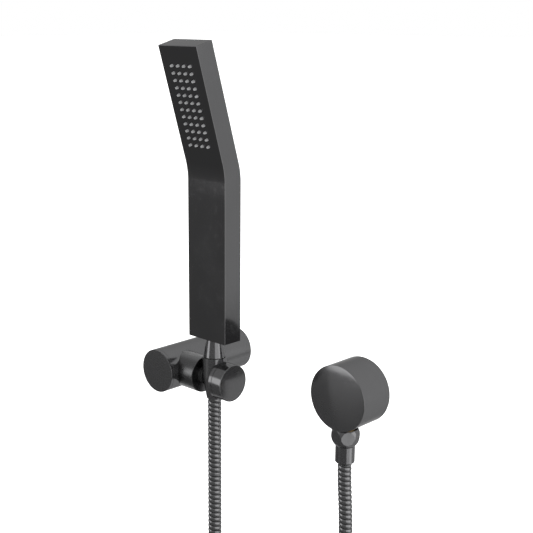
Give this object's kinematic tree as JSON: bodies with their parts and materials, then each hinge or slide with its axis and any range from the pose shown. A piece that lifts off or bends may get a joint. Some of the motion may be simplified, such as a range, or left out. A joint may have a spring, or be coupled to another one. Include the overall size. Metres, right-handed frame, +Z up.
{
  "type": "handheld shower head",
  "caption": "Bent bar hand shower in a tilting sleeve on a wall post, joined by a metal hose to a round wall outlet.",
  "frame": {"origin": "centre of the post's wall face", "axes": "+X along the wall from the post to the outlet, +Y into the wall, +Z up"},
  "size_m": [0.2197, 0.1298, 0.6768],
  "materials": {
    "black_chrome": "dark polished plating on brass",
    "shell_gloss": "dark polished plating on plastic",
    "hose_metal": "dark interlocked metal strip over a plastic lining",
    "silicone": "soft grey silicone",
    "rubber_black": "matte",
    "steel": "bright",
    "brass": "machined",
    "white_plastic": "moulded"
  },
  "bodies": {
    "wall_fittings": {"wall_plate": "steel", "post_tube": "black_chrome", "post_cap": "black_chrome", "post_grub_screw": "steel", "cross_collar": "black_chrome", "pivot_bush": "white_plastic", "friction_washer": "rubber_black", "outlet_cover": "black_chrome", "wall_gasket": "rubber_black", "outlet_elbow": "brass", "cover_screw": "steel", "elbow_plug": "brass", "valve_cage": "white_plastic", "valve_spring": "steel", "ball_nut": "black_chrome", "outlet_washer": "rubber_black", "outlet_ferrule": "black_chrome", "hose_handset_leg": "hose_metal", "hose_outlet_leg": "hose_metal", "hose_coil": "hose_metal", "hose_tie": "rubber_black"},
    "holder": {"holder_sleeve": "black_chrome", "sleeve_liner": "white_plastic", "pivot_pin": "steel", "wave_washer": "steel", "pin_nut": "brass"},
    "knob": {"knob": "black_chrome", "knob_insert": "brass", "knob_stud": "steel", "clamp_pad": "white_plastic"},
    "hose_end": {"swivel_stem": "brass", "handset_ferrule": "black_chrome", "hose_upper": "hose_metal"},
    "handset": {"handset_shell": "shell_gloss", "end_cap": "shell_gloss", "inlet_spigot": "brass", "spigot_ring": "rubber_black", "water_tube": "white_plastic", "spray_chamber": "white_plastic", "chamber_gasket": "rubber_black", "nozzle_mat": "silicone", "neck_cone": "black_chrome", "hose_nut": "black_chrome", "nut_washer": "rubber_black"},
    "check_valve": {"valve_poppet": "white_plastic"}
  },
  "joints": [
    {"name": "holder_tilt", "type": "hinge", "parent": "wall_fittings", "child": "holder", "pos_m": [0.0535, -0.0847, 0], "axis": [1, 0, 0], "range_deg": [-12, 35]},
    {"name": "knob_turn", "type": "hinge", "parent": "holder", "child": "knob", "pos_m": [0.072, -0.0847, 0], "axis": [1, 0, 0], "range_deg": [0, 180]},
    {"name": "handset_lift", "type": "slide", "parent": "holder", "child": "hose_end", "axis": [0, 0, 1], "range_m": [0, 0.045]},
    {"name": "handset_turn", "type": "hinge", "parent": "hose_end", "child": "handset", "pos_m": [0.0535, -0.0847, 0.03], "axis": [0, 0, 1], "continuous": true},
    {"name": "valve_open", "type": "slide", "parent": "wall_fittings", "child": "check_valve", "axis": [0, 0, -1], "range_m": [0, 0.0025], "stiffness_N_per_m": 60, "springref_m": -0.002, "deforming": ["valve_spring"]}
  ]
}
